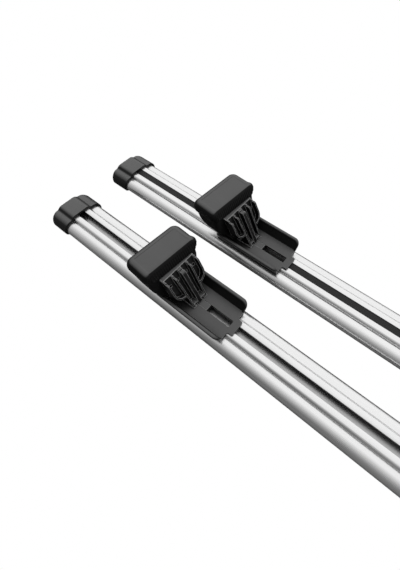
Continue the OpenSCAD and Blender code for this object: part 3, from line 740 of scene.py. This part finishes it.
# Section of the strip, anticlockwise seen from +X: the face drops by depth (0.5 + 0.5 cos(2 pi y / pitch))
def infillSection():
    s = infillShape
    face, foot, shoulderZ, footZ = s["faceHalf"], s["footHalf"], s["shoulderZ"], s["footZ"]
    y = np.linspace(face, -face, s["ridgePoints"] * s["ridges"] + 1)
    drop = 0.5 + 0.5 * np.cos(2 * np.pi * (y + face) * s["ridges"] / (2 * face))
    top = np.column_stack([y, s["faceZ"] - s["ridgeDepth"] * drop])
    low = np.array([(-face, shoulderZ), (-foot, shoulderZ), (-foot, footZ),
                    (foot, footZ), (foot, shoulderZ), (face, shoulderZ)])
    return np.concatenate([top, low])


for place, span in infillShape["spans"].items():
    verts, faces = pushedAlong(infillSection(), span, footPlace["barY"], 0.0)
    strip = meshObject(f"{place}InfillStrip", verts, faces, smooth=False)
    strip.data.materials.append(finishes["infill"])
    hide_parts(f"rear_{place}_infill")
    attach(strip, "bars")
print("infill strips")

# Bars: section in millimetres, y from the middle of a bar and z from its smooth face
barShape = {
    "bottomZ": 2.5,
    "length": 1191.4,
    "segments": 24,
    "slotHalf": 6.7,
    "lipZ": 25.4,
    "lipRound": ((0.0, -0.35), (0.1, -0.1), (0.35, 0.0)),
    "channel": (11.0, 16.0),
    "channelCut": 0.4,
    "top": 28.0,
    "slope": (14.6, 19.5, 22.0),  # where it starts and ends across, and its low height
    "slopeRound": 0.8,  # share of the quarter ellipse, and the rest is the straight line
    "slopeSteps": 14,
    "grooveY": (19.7, 20.4),
    "grooveZ": 20.6,
    "grooveRound": ((0.12, -0.2), (0.4, 0.0)),
    "lobe": (26.0, 9.5, 14.0, 13.0),  # middle across and up, reach across and up
    "lobeBelow": 8.0,
    "lobeArcs": ((90, 0, 30), (-4, -80, 20)),  # start, end and count of the upper and the lower arc
    "under": 26.0,
    "underRise": 1.8,
    "underSteps": 8,
    "crispAngle": 25,
}


# Points of an ellipse between two angles in degrees, 0 pointing outwards and 90 up
def ellipse(middleY, middleZ, reachY, reachZ, start, end, count):
    angle = np.radians(np.linspace(start, end, count))
    return np.column_stack([middleY + reachY * np.cos(angle), middleZ + reachZ * np.sin(angle)])


# Lobe and smooth face of half a section, moved out by a distance: an upper and a lower elliptic arc, then a
# face that rises with the square of y
def lobeAndUnder(grow, arcs):
    b = barShape
    lobeY, lobeZ, reachY, reachZ = b["lobe"]
    upper, lower = arcs
    y = np.linspace(b["under"], 0, b["underSteps"])
    return np.concatenate([ellipse(lobeY, lobeZ, reachY + grow, reachZ + grow, *upper),
                           ellipse(lobeY, lobeZ, reachY + grow, b["lobeBelow"] + grow, *lower),
                           np.column_stack([y, b["underRise"] * (y / b["under"]) ** 2 - grow])])


# Whole section from its half at positive y
def mirrored(half):
    return np.concatenate([half, half[1:-1][::-1] * (-1, 1)])


# Bar section: floor and wall of the channel, the lip, the strip, the slope, the groove, the lobe and the
# smooth face, then the same mirrored back. The slope mixes a quarter ellipse with a straight line
def barSection():
    b = barShape
    deepY, deepZ = b["channel"]
    cut, top, slotHalf = b["channelCut"], b["top"], b["slotHalf"]
    slopeStart, slopeEnd, slopeZ = b["slope"]
    slopeReach, slopeDrop = slopeEnd - slopeStart, top - slopeZ
    lobeTop = b["lobe"][1] + b["lobe"][3]
    inner = [(0, deepZ), (deepY - cut, deepZ), (deepY, deepZ + cut), (deepY, b["lipZ"]), (slotHalf, b["lipZ"])]
    strip = [(slotHalf + y, top + z) for y, z in b["lipRound"]] + [(slopeStart, top)]
    t = np.linspace(0, 1, b["slopeSteps"])[1:]
    curved = np.column_stack([slopeStart + slopeReach * np.sin(t * math.pi / 2),
                              slopeZ + slopeDrop * np.cos(t * math.pi / 2)])
    straight = np.column_stack([slopeStart + slopeReach * t, top - slopeDrop * t])
    slope = b["slopeRound"] * curved + (1 - b["slopeRound"]) * straight
    low, high = b["grooveY"]
    groove = [(low, b["grooveZ"]), (high, b["grooveZ"])]
    groove += [(high + y, lobeTop + z) for y, z in b["grooveRound"]]
    return mirrored(np.concatenate([inner, strip, slope, groove, lobeAndUnder(0.0, b["lobeArcs"])]))


# Keeps edges sharper than an angle in degrees crisp
def crisp(thing, angle):
    thing.data.set_sharp_from_angle(angle=math.radians(angle))
    return thing


places = np.linspace(-0.5, 0.5, barShape["segments"] + 1) * barShape["length"]
for row, sign in rowSign.items():
    verts, faces = pushedAlong(barSection(), places, sign * footPlace["barY"], barShape["bottomZ"])
    bar = crisp(meshObject(f"{row}SatinBar", verts, outwards(verts, faces)), barShape["crispAngle"])
    bar.data.materials.append(finishes["extrusion"])
    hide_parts(f"{row}_extrusion")
    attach(bar, "bars")
print("bars")

# End caps: the same section grown by the sleeve and softened, rounded over at the closed end
capShape = {
    "sleeve": 3.4,
    "lift": 1.4,
    "liftZ": (4.0, 16.0),
    "floorZ": -2.5,
    "gap": 0.3,
    "length": 42.4,
    "endWall": 4.0,
    "flatHalf": 8.0,
    "slopeGrow": (0.6, 0.9),  # shares of the growth by which the slope's two ends move out
    "slopeLift": 0.3,
    "lobeFrom": 25.0,
    "lobeArcs": ((84, 0, 24), (-5, -80, 16)),
    "cornerCuts": 2,
    "cornerY": 9.5,
    "cornerZ": 4.5,
    "cornerFrom": 22.0,
    "rimWidth": 0.7,
    "rimRound": 0.1,
    "rimCut": 0.25,
    "rings": 12,
    "crispAngle": 40,
}


# Outline around the bar without its slot, moved out by a distance and softened by cutting corners, each
# new point a quarter of the way along a side. The upper part is lifted, and the lower kept above the floor
def capOutline(grow, lift):
    b, c = barShape, capShape
    top, lobeTop = b["top"] + grow, b["lobe"][1] + b["lobe"][3] + grow
    startGrow, endGrow = (share * grow for share in c["slopeGrow"])
    over = [(0, top), (c["flatHalf"], top), (b["slope"][0] + startGrow, top),
            (b["slope"][1] + endGrow, lobeTop + c["slopeLift"]), (c["lobeFrom"], lobeTop)]
    loop = mirrored(np.concatenate([over, lobeAndUnder(grow, c["lobeArcs"])]))
    for _ in range(c["cornerCuts"]):
        nxt = np.roll(loop, -1, axis=0)
        loop = np.stack([loop * 0.75 + nxt * 0.25, loop * 0.25 + nxt * 0.75], 1).reshape(-1, 2)
    loop[:, 1] += lift * smooth(loop[:, 1], *c["liftZ"])
    loop[:, 1] = np.maximum(loop[:, 1], c["floorZ"])
    return loop


# How far a rounded edge falls back at distance d from its end: r - sqrt(r^2 - (r - d)^2)
def roundedFall(radius, distance):
    return radius - np.sqrt(np.clip(radius ** 2 - np.clip(radius - distance, 0, None) ** 2, 0, None))


# Cap surface. Near the closed end the outline shrinks by a rounded fall, with one radius for the height and
# one for the lobes beyond cornerFrom; then a thin rim, the open mouth and the inside of the sleeve
def capSurface():
    c = capShape
    outline = capOutline(c["sleeve"], c["lift"])
    halfY = outline[:, 0].max()
    lowZ, highZ = outline[:, 1].min(), outline[:, 1].max()
    middleZ, halfZ = (lowZ + highZ) / 2, (highZ - lowZ) / 2
    away = c["cornerY"] * (1 - np.cos(np.linspace(0.0, math.pi / 2, c["rings"])))
    d = np.concatenate([away, [c["length"] - c["rimWidth"], c["length"] - c["rimRound"], c["length"]]])
    trim = np.where(d >= c["length"], c["rimCut"], 0.0)
    shareY = 1 - (roundedFall(c["cornerY"], d) + trim) / (halfY - c["cornerFrom"])
    shareZ = 1 - (roundedFall(c["cornerZ"], d) + trim) / halfZ
    across = outline[None, :, 0]
    beyond = np.clip(np.abs(across) - c["cornerFrom"], 0, None)
    rings = np.stack([np.broadcast_to(d[:, None], (len(d), len(outline))),
                      across + np.sign(across) * beyond * (shareY[:, None] - 1),
                      middleZ + (outline[None, :, 1] - middleZ) * shareZ[:, None]], 2)
    inner = capOutline(c["gap"], 0.0)
    mouth = [np.column_stack([np.full(len(inner), x), inner]) for x in (c["length"], c["endWall"])]
    return np.concatenate([rings.reshape(-1, 3), *mouth]), closedRings(len(d) + len(mouth), len(outline))


capVerts, capFaces = capSurface()
for row, side in feet:
    verts = np.column_stack([(capVerts[:, 0] - footPlace["barEnd"]) * sideSign[side],
                             capVerts[:, 1] + rowSign[row] * footPlace["barY"],
                             capVerts[:, 2] + barShape["bottomZ"]]) / mmPerMetre
    cap = crisp(meshObject(f"{row}{side.capitalize()}Cap", verts, outwards(verts, capFaces)),
                capShape["crispAngle"])
    cap.data.materials.append(finishes["end_cap"])
    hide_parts(f"{row}_{side}_end_cap")
    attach(cap, "bars")
print("end caps")
